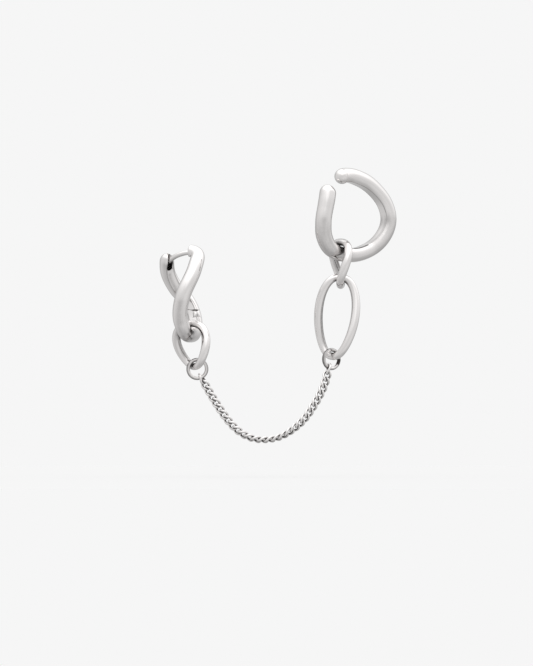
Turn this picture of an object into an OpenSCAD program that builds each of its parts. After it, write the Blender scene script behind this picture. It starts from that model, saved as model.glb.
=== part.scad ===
// Ear chain earring: a hinged lobe hoop, a fine curb chain and an open ear cuff, in polished white metal.
// Millimetres. Z is up, and the front of the earring looks along -Y.
// The origin is the middle of the ear post.

/* [Hoop] */
// Height of the hoop, measured along the middle of its wire
hoop_tall = 14; // [12:0.5:18]
// Depth of the hoop, measured along the middle of its wire
hoop_deep = 9; // [7:0.5:11]
// Thickness of the hoop's wire halfway up
hoop_wire = 2.5; // [2.1:0.1:2.9]
// Depth of the flat on the inside of the hoop's wire
hoop_flat = 0.22; // [0.1:0.02:0.4]
// Squareness of the hoop: 1 is an oval, less is squarer
hoop_square = 0.6; // [0.5:0.05:1]
// Where the front bar ends, in degrees round from the top
front_end = 2.7; // [2.5:0.1:4]
// Rounding of the front bar's end
front_round = 0.5; // [0.2:0.1:1]
// Where the lever ends, in degrees round from the top
lever_end = 27; // [24:1:36]

/* [Hinge] */
// Where the hinge pin sits, in degrees round from the top
hinge_at = 122; // [112:1:126]
// How far the hinge pin is turned from straight sideways
hinge_turn = 15; // [10:1:20]
// Diameter of the hinge barrel
barrel_d = 2.2; // [1.9:0.05:2.4]
// Width of the lever's tongue
tongue_w = 0.6; // [0.5:0.05:0.8]
// Diameter of the hinge pin
pin_d = 0.7; // [0.5:0.05:0.8]
// Height of the bare barrel on each side of the pin
barrel_show = 0.65; // [0.55:0.05:0.8]
// Running gap of the hinge
hinge_gap = 0.05; // [0.03:0.01:0.08]
// Play of the pin in the fork
pin_play = 0.02; // [0.01:0.01:0.03]

/* [Post] */
// Diameter of the ear post
post_d = 0.8; // [0.7:0.05:0.9]
// Side play of the post in the lever's slot
post_play = 0.1; // [0.08:0.01:0.14]
// How far the slot lies to the front bar's side of the lever's middle
slot_shift = 0.25; // [0.1:0.05:0.3]
// Fullness of the post's bend where it leaves the front bar
post_bend_out = 1.6; // [1.2:0.1:2.2]
// Fullness of the post's bend where it dips into the lever's slot
post_bend_in = 2.8; // [2.6:0.1:3.2]

/* [Small links] */
// Length of a small link, measured along the middle of its wire
small_long = 7.2; // [6:0.1:8]
// Width of a small link, measured along the middle of its wire
small_wide = 5.8; // [5:0.2:6.6]
// Thickness of a small link's wire at its sides
small_side = 1.45; // [1.2:0.05:1.6]
// Thickness of a small link's wire at its ends
small_end = 1.2; // [1:0.05:1.4]

/* [Oval link] */
// Length of the oval link, measured along the middle of its wire
oval_long = 13.2; // [10:0.1:16]
// Width of the oval link, measured along the middle of its wire
oval_wide = 6.4; // [5.6:0.2:8]
// Thickness of the oval link's wire at its sides
oval_side = 1.45; // [1.2:0.05:1.6]
// Thickness of the oval link's wire at its ends
oval_end = 1.25; // [1:0.05:1.4]

/* [Jump rings] */
// Outside diameter of a jump ring
ring_d = 3.7; // [3.6:0.05:4.4]
// Thickness of a jump ring's wire
ring_wire = 0.6; // [0.5:0.02:0.64]

/* [Chain] */
// Number of chain links
chain_links = 29; // [26:1:32]
// Depth of the hanging chain's lowest link below the hoop's foot
chain_drop = 17.4; // [15:0.1:20]
// Outside width of a chain link
chain_wide = 1.5; // [1.46:0.02:1.7]
// Width added to the chain's two end links, to take the jump rings
chain_end_wide = 0.24; // [0.2:0.02:0.3]
// Thickness of a chain link's wire
chain_wire = 0.4; // [0.34:0.01:0.41]
// Gap between chain links
chain_play = 0.14; // [0.1:0.01:0.2]
// Roll of the chain about its own run, at the hoop's side
roll_left = 20; // [-40:5:40]
// Roll of the chain about its own run, at the cuff's side
roll_right = 15; // [-40:5:40]
// Roll of the chain about its own run, halfway along it
roll_low = 68; // [40:2:80]

/* [Ear cuff] */
// Height of the cuff, measured along the middle of its wire
cuff_tall = 13.8; // [12:0.2:16]
// Thickness of the cuff's wire
cuff_wire = 2.75; // [2.2:0.05:2.9]
// Depth of the flat on the inside of the cuff's wire
cuff_flat = 0.3; // [0.1:0.05:0.5]
// Diameter of the ball at the back end
cuff_ball = 2.55; // [2.4:0.05:3]
// How far the cuff is turned, its left side to the front
cuff_turn = 38; // [25:1:45]

/* [Fit] */
// Gap between pieces that hang in each other
play = 0.1; // [0.06:0.01:0.16]
// Where the middle of the cuff is held, sideways from the hoop's foot
cuff_x = 27.5; // [26:0.1:29]
// Where the middle of the cuff is held, behind the hoop's foot
cuff_y = 1.5; // [0.5:0.1:2.5]
// Where the middle of the cuff is held, above the hoop's foot
cuff_z = 20; // [19:0.1:22]

/* [Hidden] */
metal = [0.82, 0.81, 0.8];
step = 0.4; // half the stretch of a line that gives its direction, in the line's own units
hoop_sides = 14;
link_sides = 12;
fine_sides = 6;
post_sides = 10;
front_rings = 36;
lever_rings = 22;
post_rings = 9;
cuff_rings = 44;
small_rings = 26;
oval_rings = 32;
fine_rings = 12;
round_wide = 48; // $fn of wide round pieces
round_small = 32; // $fn of small round pieces
ROUND_END = [14, 34, 55, 75]; // angles at which a rounded end has its rings

// Hoop, by height from its foot (-1) to its top (1):
// turn of its plane, sideways shift as a share of its height, thickness as a share of hoop_wire
HOOP = [
    [-1.00, -17, 0.089, 0.97],
    [-0.60, -17, 0.054, 1.00],
    [-0.20, -6, 0.020, 1.02],
    [0.10, 10, -0.020, 1.02],
    [0.45, 29, -0.027, 1.00],
    [0.75, 45.5, -0.012, 0.97],
    [1.00, 72, 0.018, 0.88],
];

// Cuff, by degrees round from the top:
// radius as a share of half its height, forward reach as a share of cuff_wire, thickness as a share of cuff_wire
CUFF = [
    [-45, 0.900, 1.0, 0.93],
    [-20, 0.990, 0.2, 0.96],
    [10, 0.862, 0, 1.02],
    [40, 0.772, 0, 0.98],
    [70, 0.775, 0, 0.97],
    [100, 0.820, 0, 0.98],
    [130, 0.846, 0, 0.99],
    [160, 0.888, 0, 0.98],
    [185, 0.950, 0, 0.95],
    [215, 1.005, 0, 0.96],
    [235, 0.913, 0, 1.00],
    [255, 0.800, 0, 1.00],
    [280, 0.743, 0, 1.00],
    [300, 0.790, -0.03, 1.02],
    [319, 0.945, -0.17, 1.00],
];

function unit(v) = v / norm(v);

// Cross product's length-one direction.
function square_to(a, b) = unit(cross(a, b));

// Smooth curve through one column of a table whose first column rises, read at x.
function smooth(table, x, col) =
    let (
        last = len(table) - 1,
        i = max([0, for (k = [1 : last - 1]) if (table[k][0] <= x) k]),
        x0 = table[i][0],
        x1 = table[i + 1][0],
        f = (x - x0) / (x1 - x0),
        slope = function (k) (table[min(k + 1, last)][col] - table[max(k - 1, 0)][col])
            / (table[min(k + 1, last)][0] - table[max(k - 1, 0)][0]) * (x1 - x0),
        y0 = table[i][col],
        y1 = table[i + 1][col]
    )
    y0 * (1 + 2 * f) * (1 - f) * (1 - f) + slope(i) * f * (1 - f) * (1 - f)
        + y1 * f * f * (3 - 2 * f) - slope(i + 1) * f * f * (1 - f);

// Direction of a line at t.
function along(line, t) = unit(line(t + step) - line(t - step));

// Direction away from the loop's inside at t, where face(t) is the way the loop faces.
function outward(line, face, t) = square_to(along(line, t), face(t));

// One section of round wire whose inner side is cut flat, flat being the share of the radius that is left.
function section(line, face, t, radius, flat, sides) =
    let (out = outward(line, face, t), across = cross(out, along(line, t)), middle = line(t))
    [for (k = [0 : sides - 1])
        let (q = 360 * (k + 0.5) / sides)
        middle + radius * (max(cos(q), -flat) * out + sin(q) * across)];

// Places along a line from t0 to t1, close together where an end is rounded over its last r0 or r1.
// Each is [t, share of the radius].
function stations(line, t0, t1, r0, r1, count) =
    let (
        speed0 = norm(line(t0 + step) - line(t0 - step)) / (2 * step),
        speed1 = norm(line(t1 + step) - line(t1 - step)) / (2 * step),
        way = sign(t1 - t0),
        s0 = t0 + way * r0 / speed0,
        s1 = t1 - way * r1 / speed1
    )
    concat(
        r0 > 0 ? [for (a = ROUND_END) [t0 + (s0 - t0) * (1 - cos(a)), sin(a)]] : [],
        [for (i = [0 : count]) [s0 + (s1 - s0) * i / count, 1]],
        r1 > 0 ? [for (i = [3 : -1 : 0]) let (a = ROUND_END[i]) [t1 + (s1 - t1) * (1 - cos(a)), sin(a)]] : []
    );

// Closed skin over rings of points: a loop joins its last ring to its first, and an open run is capped.
module skin(rings, loop = false) {
    n = len(rings);
    m = len(rings[0]);
    walls = [for (i = [0 : loop ? n - 1 : n - 2], k = [0 : m - 1])
        let (
            a = i * m + k,
            b = i * m + (k + 1) % m,
            c = ((i + 1) % n) * m + k,
            d = ((i + 1) % n) * m + (k + 1) % m
        )
        each [[a, b, d], [a, d, c]]];
    caps = loop ? [] : [
        [for (k = [m - 1 : -1 : 0]) k],
        [for (k = [0 : m - 1]) (n - 1) * m + k],
    ];
    polyhedron(points = [for (r = rings) each r], faces = concat(walls, caps), convexity = 8);
}

link_square = 0.8; // squareness of every link: 1 is an oval, less is squarer

// Point of a twisted link at t degrees round from its top, first down its right side.
function twisted(t, long, wide, top_turn, foot_turn) =
    let (
        across = sign(sin(t)) * pow(abs(sin(t)), link_square),
        turn = top_turn + (foot_turn - top_turn) * (1 - cos(t)) / 2
    )
    [wide / 2 * across * cos(turn), -wide / 2 * across * sin(turn), long / 2 * cos(t)];

// The way a twisted link faces at t.
function twisted_face(t, top_turn, foot_turn) =
    let (turn = top_turn + (foot_turn - top_turn) * (1 - cos(t)) / 2)
    [sin(turn), cos(turn), 0];

// Closed twisted link of wire, thinner at its ends than at its sides.
module twisted_link(long, wide, side, end, top_turn, foot_turn, rings = small_rings, sides = link_sides) {
    line = function (t) twisted(t, long, wide, top_turn, foot_turn);
    face = function (t) twisted_face(t, top_turn, foot_turn);
    skin([for (i = [0 : rings - 1])
        let (t = 360 * (i + 0.5) / rings, radius = (end + (side - end) * pow(abs(sin(t)), 2)) / 2)
        section(line, face, t, radius, 1, sides)], loop = true);
}

// Turns a piece made along Z so that its top-to-foot axis runs along v.
module hang_along(v) {
    rotate([0, atan2(v[0], v[2]), 0]) children();
}

// Hoop

function hoop_turn(t) = smooth(HOOP, cos(t), 1);
function hoop_face(t) = [cos(hoop_turn(t)), sin(hoop_turn(t)), 0];

// Middle of the hoop's wire, from the top down the front bar and up the back bar, before the origin is set.
function hoop_raw(t) =
    let (across = sign(sin(t)) * pow(abs(sin(t)), hoop_square) * hoop_deep / 2, turn = hoop_turn(t))
    [
        across * sin(turn) + smooth(HOOP, cos(t), 2) * hoop_tall,
        -across * cos(turn),
        hoop_tall / 2 * (1 + cos(t)),
    ];

// The pin lies square to the hoop's mean plane, and so does the slot that the lever swings over the post.
hinge_axis = [cos(hinge_turn), sin(hinge_turn), 0];
back = [-hinge_axis[1], hinge_axis[0], 0];

// The post leaves the front bar's end sideways and dips into the lever's slot.
post_seat = 11.3; // from the front bar's end to the post's seat, in degrees round the hoop
slot_seat = 20; // from the lever's end to the slot's foot, in degrees round the hoop
post_seat_t = front_end + post_seat;
slot_t = 360 - lever_end - slot_seat;
post_start_raw = hoop_raw(post_seat_t);
post_end_raw = hoop_raw(slot_t) + slot_shift * hinge_axis;
post_out = unit([-1, 0.3, 0.12]);
post_in = unit(0.85 * back + 0.17 * hinge_axis + [0, 0, -0.5]);
post_knots_raw = [post_start_raw, post_start_raw + post_bend_out * post_out, post_end_raw - post_bend_in * post_in,
    post_end_raw];
post_middle_raw = [1, 3, 3, 1] * post_knots_raw / 8;
hoop_line = function (t) hoop_raw(t) - post_middle_raw;
hoop_way = function (t) hoop_face(t);
hoop_foot = hoop_line(180);
function hoop_radius(t) = hoop_wire / 2 * smooth(HOOP, cos(t), 3);
hoop_cut = 1 - hoop_flat / (hoop_wire / 2); // share of the radius where the flat lies

// Run of the hoop's wire between two places, rounded at an end where r0 or r1 is given.
module hoop_run(t0, t1, r0, r1, count) {
    skin([for (s = stations(hoop_line, t0, t1, r0, r1, count))
        section(hoop_line, hoop_way, s[0], hoop_radius(s[0]) * s[1], hoop_cut, hoop_sides)]);
}

// Hinge

hinge_t = 360 - hinge_at;
hinge_place = hoop_line(hinge_t);
hinge_up = along(hoop_line, hinge_t);
past_pin = 9; // from the pin to where each bar's wire is cut, in degrees round the hoop
pin_inset = 0.125; // from the bar's surface in to each end of the pin
pin_long = hoop_wire - 2 * pin_inset;
cutter = 4 * hoop_wire; // longer than any cut is deep

// Places children at the hinge: Z along the pin, X up the lever, Y to the front of the hoop.
module at_hinge() {
    x = unit(hinge_up - (hinge_up * hinge_axis) * hinge_axis);
    y = cross(hinge_axis, x);
    o = hinge_place;
    multmatrix([
        [x[0], y[0], hinge_axis[0], o[0]],
        [x[1], y[1], hinge_axis[1], o[1]],
        [x[2], y[2], hinge_axis[2], o[2]],
        [0, 0, 0, 1],
    ]) children();
}

// Post

post_knots = [for (p = post_knots_raw) p - post_middle_raw];
post_end = post_knots[3];

// Curve of the post from its seat at 0 over the origin at 50 into the slot at 100.
post_line = function (t)
    let (s = t / 100, r = 1 - s)
    [r * r * r, 3 * r * r * s, 3 * r * s * s, s * s * s] * post_knots;
post_face = square_to(post_end - post_knots[0], [0, 0, 1]);

module post() {
    skin([for (s = stations(post_line, 0, 100, 0, post_d / 4, post_rings))
        section(post_line, function (t) post_face, s[0], post_d / 2 * s[1], 1, post_sides)]);
}

// Everything past the barrel, on the lever's side (1) or on the front bar's side (-1) of the pin.
module past_barrel(side, width) {
    difference() {
        translate([side > 0 ? -barrel_show : barrel_show - cutter, -cutter / 2, -cutter / 2]) cube(cutter);
        cylinder(h = width, d = barrel_d, center = true, $fn = round_wide);
    }
}

module pin_bore(clearance) {
    cylinder(h = cutter, d = pin_d + 2 * clearance, center = true, $fn = round_small);
}

module hoop_front() {
    color(metal) union() {
        difference() {
            hoop_run(front_end, hinge_t + past_pin, front_round, 0, front_rings);
            at_hinge() {
                past_barrel(1, cutter);
                cylinder(h = tongue_w + 2 * hinge_gap, r = barrel_d / 2 + hinge_gap, center = true,
                    $fn = round_wide);
                pin_bore(pin_play);
            }
        }
        post();
    }
}

module hoop_lever() {
    color(metal) difference() {
        hoop_run(hinge_t - past_pin, 360 - lever_end, 0, hoop_wire / 2, lever_rings);
        at_hinge() {
            past_barrel(-1, tongue_w);
            for (side = [-1, 1]) translate([0, 0, side * (tongue_w + cutter) / 2])
                cylinder(h = cutter, r = barrel_d / 2 + hinge_gap, center = true, $fn = round_wide);
            pin_bore(hinge_gap);
        }
        slot();
    }
}

// Slot at the lever's tip, open at its top and to the inside of the hoop. It stops short of the lever's back.
slot_past = 0.4; // from the post's tip on to the slot's back wall

module slot() {
    x = unit(along(hoop_line, slot_t) - (along(hoop_line, slot_t) * hinge_axis) * hinge_axis);
    y = cross(hinge_axis, x);
    multmatrix([
        [x[0], y[0], hinge_axis[0], post_end[0]],
        [x[1], y[1], hinge_axis[1], post_end[1]],
        [x[2], y[2], hinge_axis[2], post_end[2]],
        [0, 0, 0, 1],
    ]) {
        w = post_d + 2 * post_play;
        translate([0, -slot_past, 0]) rotate([-90, 0, 0]) cylinder(h = cutter, d = w, $fn = round_small);
        translate([0, -slot_past, -w / 2]) cube([cutter, cutter, w]);
    }
}

module hinge_pin() {
    color(metal) at_hinge() cylinder(h = pin_long, d = pin_d, center = true, $fn = round_small);
}

// Links and jump rings, hung one in the next from the hoop's foot

lobe_at = 177; // where the lobe link hangs, in degrees round the hoop
lobe_turns = [10, 62]; // of its top and of its foot, in degrees
lobe_lean = unit([0.15, 0, -1]);
lobe_top = hoop_line(lobe_at) + [0, 0, hoop_radius(180) + play + small_end / 2];
lobe_foot = lobe_top + small_long * lobe_lean;

module lobe_link() {
    color(metal) translate((lobe_top + lobe_foot) / 2) hang_along(-lobe_lean)
        twisted_link(small_long, small_wide, small_side, small_end, lobe_turns[0], lobe_turns[1]);
}

ring_r = (ring_d - ring_wire) / 2;

// The way a jump ring hangs in its own plane, pulled sideways by a share of its weight.
function ring_pull(lean, turn) = unit([lean * cos(turn), lean * sin(turn), -1]);

left_turn = 8;
left_pull = ring_pull(0.8, left_turn);
left_top = lobe_foot - (small_end / 2 + play + ring_wire / 2) * left_pull;
left_middle = left_top + ring_r * left_pull;
left_low = left_middle + ring_r * ring_pull(0.45, left_turn); // where the chain hangs on the ring

module jump_ring(middle, turn) {
    color(metal) translate(middle) rotate([0, 0, turn]) rotate([90, 0, 0])
        rotate_extrude($fn = round_wide) translate([ring_r, 0]) circle(d = ring_wire, $fn = 16);
}

module jump_ring_left() {
    jump_ring(left_middle, left_turn);
}

// Cuff, its link, the oval link and its jump ring, hung one in the next from the cuff's foot

function cuff_radius(a) = cuff_tall / 2 * smooth(CUFF, a, 1);
function cuff_thick(a) = cuff_wire / 2 * smooth(CUFF, a, 3);
cuff_middle = hoop_foot + [cuff_x, cuff_y, cuff_z];
cuff_line = function (a)
    let (r = cuff_radius(a), x = r * sin(a))
    cuff_middle + [x, x * tan(cuff_turn) - cuff_wire * smooth(CUFF, a, 2), r * cos(a)];
cuff_way = function (a) [-sin(cuff_turn), cos(cuff_turn), 0];
cuff_cut = 1 - cuff_flat / (cuff_wire / 2); // share of the radius where the flat lies

// The cuff's wire runs from the ball at its back end round to the rounded tip of its front bar.
ball_at = -19;
tip_at = 318.8;
cuff_link_at = 201;

module ear_cuff() {
    color(metal) union() {
        skin([for (s = stations(cuff_line, ball_at, tip_at, 0, cuff_wire / 2, cuff_rings))
            section(cuff_line, cuff_way, s[0], cuff_thick(s[0]) * s[1], cuff_cut, hoop_sides)]);
        translate(cuff_line(ball_at)) sphere(d = cuff_ball, $fn = round_small);
    }
}

cuff_link_turns = [48, 97]; // of its top and of its foot, in degrees
corner_rise = 0.12; // of the link over the corners of the cuff's flat
cuff_link_slope = along(cuff_line, cuff_link_at)[2]; // of the cuff's flat, on which the link hangs
cuff_link_top = cuff_line(cuff_link_at)
    + [0, 0, (cuff_thick(cuff_link_at) * cuff_cut + play + small_end / 2) / sqrt(1 - cuff_link_slope ^ 2) + corner_rise];
cuff_link_foot = cuff_link_top - [0, 0, small_long];

module cuff_link() {
    color(metal) translate((cuff_link_top + cuff_link_foot) / 2)
        twisted_link(small_long, small_wide, small_side, small_end, cuff_link_turns[0], cuff_link_turns[1]);
}

oval_turns = [-8, 44]; // of its top and of its foot, in degrees
oval_lean = unit([-0.102, 0, -1]);
oval_top = cuff_link_foot + [0, 0, small_end / 2 + play + oval_end / 2];
oval_foot = oval_top + oval_long * oval_lean;

module oval_link() {
    color(metal) translate((oval_top + oval_foot) / 2) hang_along(-oval_lean)
        twisted_link(oval_long, oval_wide, oval_side, oval_end, oval_turns[0], oval_turns[1], oval_rings);
}

right_turn = 36;
right_pull = ring_pull(-0.55, right_turn);
right_top = oval_foot - (oval_end / 2 + play + ring_wire / 2) * right_pull;
right_middle = right_top + ring_r * right_pull;
right_low = right_middle + ring_r * ring_pull(-0.4, right_turn);

module jump_ring_right() {
    jump_ring(right_middle, right_turn);
}

// Chain

// Bends of the hanging chain: sideways as a share of cuff_x, downwards as a share of chain_drop, from the hoop's foot.
CHAIN_ROUTE = [
    [0.144, 0.617],
    [0.228, 0.813],
    [0.317, 0.945],
    [0.425, 1.000],
    [0.553, 0.968],
    [0.677, 0.825],
    [0.759, 0.642],
    [0.813, 0.471],
];

// The chain's run lies straight from one jump ring to the other, seen from above.
function over(x) = left_low[1] + (right_low[1] - left_low[1]) * (x - left_low[0]) / (right_low[0] - left_low[0]);
chain_bends = [for (p = CHAIN_ROUTE)
    let (x = hoop_foot[0] + cuff_x * p[0])
    [x, over(x), hoop_foot[2] - chain_drop * p[1]]];
hold = (ring_wire + play) / 2;
chain_start = left_low - hold * unit(chain_bends[0] - left_low);
chain_stop = right_low - hold * unit(chain_bends[len(chain_bends) - 1] - right_low);
knots = concat([chain_start], chain_bends, [chain_stop]);
knot_table = [for (i = [0 : len(knots) - 1]) concat([i], knots[i])];
function route(x) = [smooth(knot_table, x, 1), smooth(knot_table, x, 2), smooth(knot_table, x, 3)];
fine = 8; // places per bend at which the chain's run is measured
walk = [for (i = [0 : fine * (len(knots) - 1)]) route(min(i / fine, len(knots) - 1.0001))];
walk_parts = [for (i = [1 : len(walk) - 1]) norm(walk[i] - walk[i - 1])];
function running(list, i = 0, sum = 0) =
    i == len(list) ? [sum] : concat([sum], running(list, i + 1, sum + list[i]));
walked = running(walk_parts);
chain_run = walked[len(walked) - 1];
pitch = chain_run / chain_links;
walk_columns = [for (c = [0 : 2]) [for (i = [0 : len(walk) - 1]) [walked[i], walk[i][c]]]];
function joint(i) = [for (c = [0 : 2]) lookup(i * pitch, walk_columns[c])];

chain_half_turn = 62; // half the twist of a link, in degrees
roll_reach = 0.16; // share of the chain's run over which its roll grows to roll_low

// Link number i of the chain: its two ends are turned a quarter turn from each other, so that the chain lies flat.
module chain_link(i) {
    from = joint(i - 1);
    to = joint(i);
    share = (i - 0.5) / chain_links;
    straight = roll_left + (roll_right - roll_left) * share;
    roll = straight + (roll_low - straight) * exp(-((share - 0.5) / roll_reach) ^ 2);
    first_turn = (i == 1 ? -90 - left_turn : roll + chain_half_turn);
    last_turn = (i == chain_links ? right_turn + 90 : roll - chain_half_turn);
    wide = chain_wide + (i == 1 || i == chain_links ? chain_end_wide : 0);
    color(metal) translate((from + to) / 2) hang_along(from - to)
        twisted_link(norm(to - from) + chain_wire + chain_play, wide - chain_wire, chain_wire, chain_wire,
            first_turn, last_turn, fine_rings, fine_sides);
}

function two_digits(i) = i < 10 ? str("0", i) : str(i);
CHAIN_NODES = [for (i = [1 : chain_links]) str("chain_link_", two_digits(i))];

hoop_front();
hoop_lever();
hinge_pin();
lobe_link();
jump_ring_left();
for (i = [1 : chain_links]) {
    chain_link(i);
}
jump_ring_right();
oval_link();
cuff_link();
ear_cuff();
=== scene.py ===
import math

import bpy
import numpy as np
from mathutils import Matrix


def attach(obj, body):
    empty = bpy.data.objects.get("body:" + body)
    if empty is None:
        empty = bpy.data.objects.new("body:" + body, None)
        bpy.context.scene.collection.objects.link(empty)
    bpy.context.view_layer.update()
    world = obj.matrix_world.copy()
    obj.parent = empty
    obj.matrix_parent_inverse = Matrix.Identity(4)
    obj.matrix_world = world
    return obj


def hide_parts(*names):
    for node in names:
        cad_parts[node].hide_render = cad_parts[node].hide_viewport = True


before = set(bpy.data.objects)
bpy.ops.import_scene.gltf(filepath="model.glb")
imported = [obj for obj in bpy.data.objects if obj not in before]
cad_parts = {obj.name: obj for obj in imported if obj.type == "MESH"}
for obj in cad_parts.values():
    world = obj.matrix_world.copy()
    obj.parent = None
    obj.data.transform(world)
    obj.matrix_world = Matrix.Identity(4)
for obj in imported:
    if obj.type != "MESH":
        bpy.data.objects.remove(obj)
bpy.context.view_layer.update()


# ---------------------------------------------------------------- Studio
# The earring hangs in front of a plain pale wall, a few millimetres over a pale board. The metal mirrors a room that
# is bright overhead and dims evenly towards the floor, with wide soft panels that lift or shade single directions.

PALE = 0.9216  # the wall's brightness
BOARD_GLOW = 0.55  # the part of the board's brightness that no shadow takes away
BOARD_BASE = 0.30  # its own colour, which does take shadow
BOARD_X_MM, BOARD_Z_MM, BOARD_REACH_MM, BOARD_SIDES = 14, -37.0, 150, 96
MM = 0.001
LENS, SENSOR = 600.0, 36.0
FRAME_TALL_MM = 111.0  # what the frame's 666 pixels show at the earring
CAMERA_X_MM, CAMERA_Z_MM = 14.68, -13.01
BRIGHTEST = 2.0  # a colour ramp stops at 1, so it holds the room's brightness divided by this
# height of a direction, from straight down at -1 to straight up at 1, and the brightness that lies there
ROOM = [(-1.0, 0.50), (-0.85, 0.51), (-0.7, 0.575), (-0.5, 0.66), (-0.3, 0.71), (-0.1, 0.74), (0.1, 0.765),
        (0.25, 0.82), (0.4, 0.91), (0.5, 1.0), (0.6, 1.16), (0.75, 1.38), (1.0, 1.6)]
# a panel's direction, how wide it is and how softly it ends in degrees, and the brightness that it adds or takes
PANELS = [
    ((0.0, 1.0, 0.0), 40, 26, -0.17),
    ((0.75, 0.45, 0.48), 12, 26, 0.22),
    ((0.93, -0.1, 0.35), 10, 24, 0.06),
    ((-0.75, -0.1, 0.65), 12, 28, -0.06),
    ((-0.7, 0.6, 0.38), 12, 28, -0.10),
    ((0.75, 0.5, -0.43), 12, 24, -0.12),
    ((0.6, -0.65, -0.45), 12, 24, 0.08),
    ((0.0, -0.7, -0.7), 12, 24, 0.09),
    ((0.1, -0.78, 0.62), 9, 18, 0.16),
]


def add_node(tree, kind, inputs=None, **settings):
    """One shader node with its settings, and with its inputs set to values or joined to other nodes' outputs."""
    made = tree.nodes.new(kind)
    for name, value in settings.items():
        setattr(made, name, value)
    for name, value in (inputs or {}).items():
        if isinstance(value, bpy.types.NodeSocket):
            tree.links.new(value, made.inputs[name])
        else:
            made.inputs[name].default_value = value
    return made


def set_ramp(ramp_node, stops):
    """Gives a colour ramp its stops: pairs of place and grey."""
    ramp = ramp_node.color_ramp
    while len(ramp.elements) > 2:
        ramp.elements.remove(ramp.elements[-1])
    for i, (place, grey) in enumerate(stops):
        stop = ramp.elements[i] if i < 2 else ramp.elements.new(place)
        stop.position = place
        stop.color = (grey, grey, grey, 1)


def panel_light(tree, direction, middle, wide, soft, strength):
    """Brightness of a soft round panel: its strength where a direction lies less than wide degrees from its middle,
    fading to nothing over soft degrees more."""
    dot = add_node(tree, "ShaderNodeVectorMath", {0: direction, 1: middle}, operation="DOT_PRODUCT")
    fade = add_node(tree, "ShaderNodeMapRange", {
        "Value": dot.outputs["Value"],
        "From Min": math.cos(math.radians(wide + soft)),
        "From Max": math.cos(math.radians(wide)),
        "To Min": 0.0,
        "To Max": strength,
    }, interpolation_type="SMOOTHSTEP")
    return fade.outputs["Result"]


def build_studio():
    """The world: the eye sees the pale wall, and metal sees the room's brightness by height plus the panels."""
    world = bpy.data.worlds.new("studio")
    bpy.context.scene.world = world
    world.use_nodes = True
    tree = world.node_tree
    tree.nodes.clear()
    direction = add_node(tree, "ShaderNodeTexCoord").outputs["Generated"]
    parts = add_node(tree, "ShaderNodeSeparateXYZ", {0: direction})
    height = add_node(tree, "ShaderNodeMapRange", {"Value": parts.outputs["Z"], "From Min": -1.0, "From Max": 1.0})
    room = add_node(tree, "ShaderNodeValToRGB", {"Fac": height.outputs["Result"]})
    room.color_ramp.interpolation = "LINEAR"
    set_ramp(room, [((1 + up) / 2, grey / BRIGHTEST) for up, grey in ROOM])
    light = add_node(tree, "ShaderNodeVectorMath", {0: room.outputs["Color"], 1: (BRIGHTEST,) * 3},
                     operation="MULTIPLY").outputs["Vector"]
    for middle, wide, soft, strength in PANELS:
        glow = panel_light(tree, direction, middle, wide, soft, strength)
        light = add_node(tree, "ShaderNodeVectorMath", {0: light, 1: glow}, operation="ADD").outputs["Vector"]
    seen = add_node(tree, "ShaderNodeLightPath").outputs["Is Camera Ray"]
    reflected = add_node(tree, "ShaderNodeBackground", {"Color": light})
    wall = add_node(tree, "ShaderNodeBackground", {"Color": (PALE, PALE, PALE, 1)})
    both = add_node(tree, "ShaderNodeMixShader", {0: seen, 1: reflected.outputs[0], 2: wall.outputs[0]})
    add_node(tree, "ShaderNodeOutputWorld", {"Surface": both.outputs[0]})


build_studio()
bpy.context.scene.view_settings.view_transform = "Standard"

camera_data = bpy.data.cameras.new("camera")
camera_data.lens = LENS
camera_data.sensor_width = SENSOR
camera_data.clip_start, camera_data.clip_end = 0.01, 10
camera = bpy.data.objects.new("camera", camera_data)
camera.location = (CAMERA_X_MM * MM, -FRAME_TALL_MM * MM * LENS / SENSOR, CAMERA_Z_MM * MM)
camera.rotation_euler = (math.radians(90), 0, 0)
bpy.context.scene.collection.objects.link(camera)
bpy.context.scene.camera = camera

board_turn = np.linspace(0, 2 * np.pi, BOARD_SIDES, endpoint=False)
board_points = MM * np.stack([
    BOARD_X_MM + BOARD_REACH_MM * np.cos(board_turn), BOARD_REACH_MM * np.sin(board_turn),
    np.full(BOARD_SIDES, BOARD_Z_MM)], -1)
board_mesh = bpy.data.meshes.new("board")
board_mesh.from_pydata(board_points.tolist(), [], [list(range(BOARD_SIDES))])
board = bpy.data.objects.new("board", board_mesh)
bpy.context.scene.collection.objects.link(board)
board_paint = bpy.data.materials.new("pale board")
board_paint.use_nodes = True
board_tree = board_paint.node_tree
board_shader = board_tree.nodes["Principled BSDF"]
board_shader.inputs["Base Color"].default_value = (BOARD_BASE, BOARD_BASE, BOARD_BASE, 1)
board_shader.inputs["Roughness"].default_value = 0.9
board_shader.inputs["Specular IOR Level"].default_value = 0.0
board_shader.inputs["Emission Color"].default_value = (BOARD_GLOW, BOARD_GLOW, BOARD_GLOW, 1)
board_shader.inputs["Emission Strength"].default_value = 1.0
board_mesh.materials.append(board_paint)
board.visible_glossy = False


# ---------------------------------------------------------------- Front bar and ear post
# The front half of the hoop is cast silver, D-shaped in section with its flat side inwards, and twisted so that it
# leans over to the top. A 0.8 mm ear post is soldered into its end. A fork at its foot takes the lever's tongue.

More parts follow.
